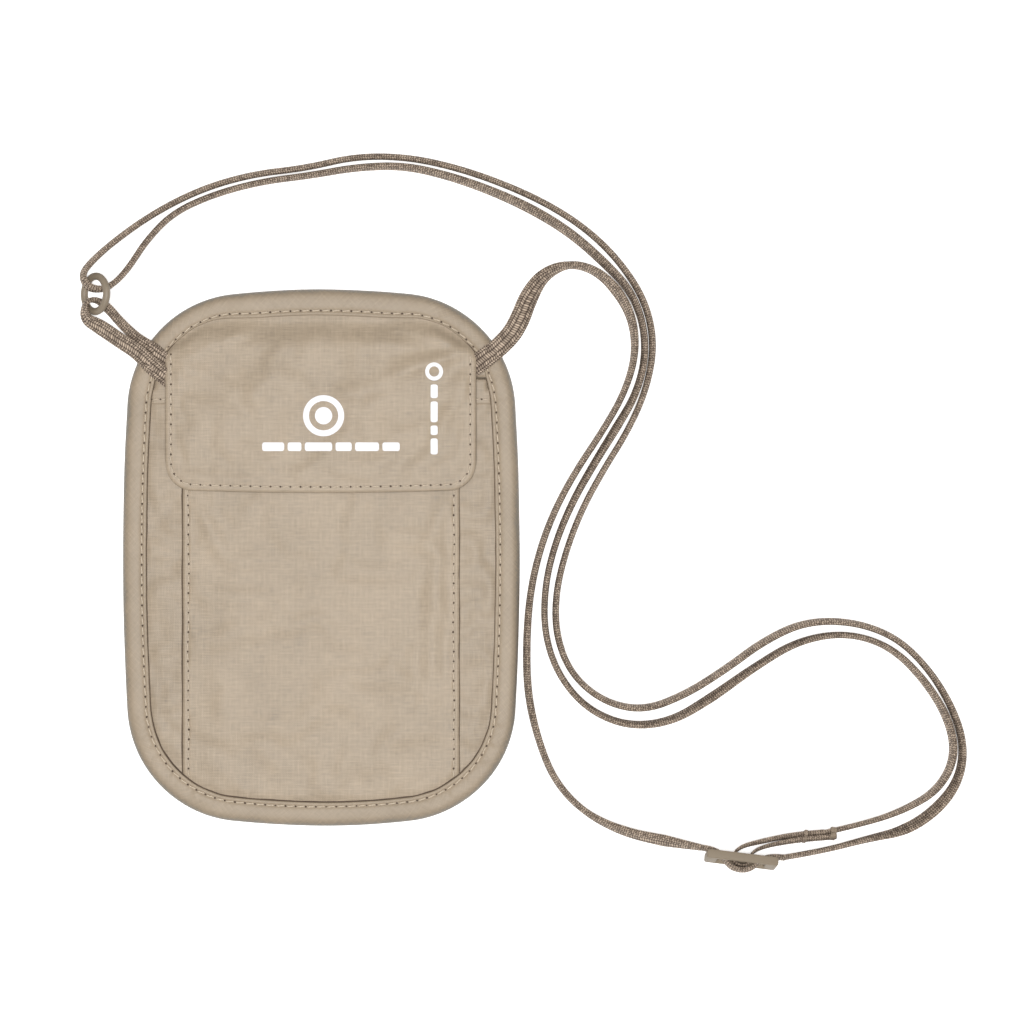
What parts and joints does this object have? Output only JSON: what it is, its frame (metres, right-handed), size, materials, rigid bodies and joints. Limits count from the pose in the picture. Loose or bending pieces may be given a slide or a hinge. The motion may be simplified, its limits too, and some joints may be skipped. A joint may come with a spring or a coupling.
{
  "type": "neck pouch wallet",
  "caption": "Soft flat travel pouch with a stitched edge binding, flap over layered pockets and zip, and a long adjustable neck strap joined by a ring and a slider.",
  "frame": {"origin": "middle of the pouch's back, on the plane it lies on", "axes": "+X to the wearer's left as seen from the front, +Y towards the pouch's top edge, +Z from the back out through the flap"},
  "size_m": [0.3006, 0.2427, 0.0113],
  "materials": {
    "ripstop": "matte ripstop weave",
    "binding_cloth": "matte plain weave",
    "lining": "matte plain weave",
    "shield": "metallised cloth",
    "strap": "matte braid",
    "thread": "matte thread",
    "closure": "matte hook and loop",
    "zip_tape": "matte woven tape",
    "zip_coil": "satin nylon",
    "zip_metal": "satin lacquer",
    "ring_plastic": "satin",
    "slider_plastic": "satin"
  },
  "bodies": {
    "pouch": {"edge_binding": "binding_cloth", "binding_seam_thread": "thread", "back_panel": "ripstop", "rfid_shield_rear": "shield", "rfid_shield_front": "shield", "front_body_panel": "ripstop", "front_yoke_panel": "ripstop", "slip_pocket_panel": "ripstop", "slip_pocket_hem": "ripstop", "centre_pocket_panel": "ripstop", "centre_pocket_hem": "ripstop", "pocket_seam_threads": "thread", "hem_seam_threads": "thread", "flap_yoke": "ripstop", "closure_loop_strip": "closure", "zip_tape_lower": "zip_tape", "zip_tape_upper": "zip_tape", "zip_coil_lower": "zip_coil", "zip_coil_upper": "zip_coil", "zip_end_stops": "zip_metal", "strap_anchor_right": "strap", "strap_anchor_left": "strap", "bar_tack_right": "thread", "bar_tack_left": "thread", "strap_anchor_run": "strap", "strap_weave": "strap", "strap_long_run": "strap", "strap_loop_left": "strap"},
    "flap": {"flap_shell": "ripstop", "flap_lining": "lining", "closure_hook_strip": "closure", "flap_seam_thread": "thread"},
    "zip_slider_body": {"zip_slider": "zip_metal", "zip_pull": "zip_metal"},
    "ring": {"strap_ring": "ring_plastic"},
    "slider": {"strap_slider": "slider_plastic", "strap_fixed_loop": "strap", "strap_fold_tacks": "thread"}
  },
  "joints": [
    {"name": "flap_fold", "type": "hinge", "parent": "pouch", "child": "flap", "pos_m": [0, 0.0694, 0.006], "axis": [-1, 0, 0], "range_deg": [0, 165]},
    {"name": "zip_slide", "type": "slide", "parent": "pouch", "child": "zip_slider_body", "axis": [1, 0, 0], "range_m": [-0.062, 0]},
    {"name": "ring_tilt", "type": "hinge", "parent": "pouch", "child": "ring", "pos_m": [-0.0799, 0.0885, 0.0014], "axis": [0, -1, 0], "range_deg": [0, 20]},
    {"name": "slider_travel", "type": "slide", "parent": "pouch", "child": "slider", "axis": [0.9925, -0.1219, 0], "range_m": [-0.008, 0.006], "deforming": ["strap_anchor_run", "strap_weave", "strap_long_run"]}
  ]
}
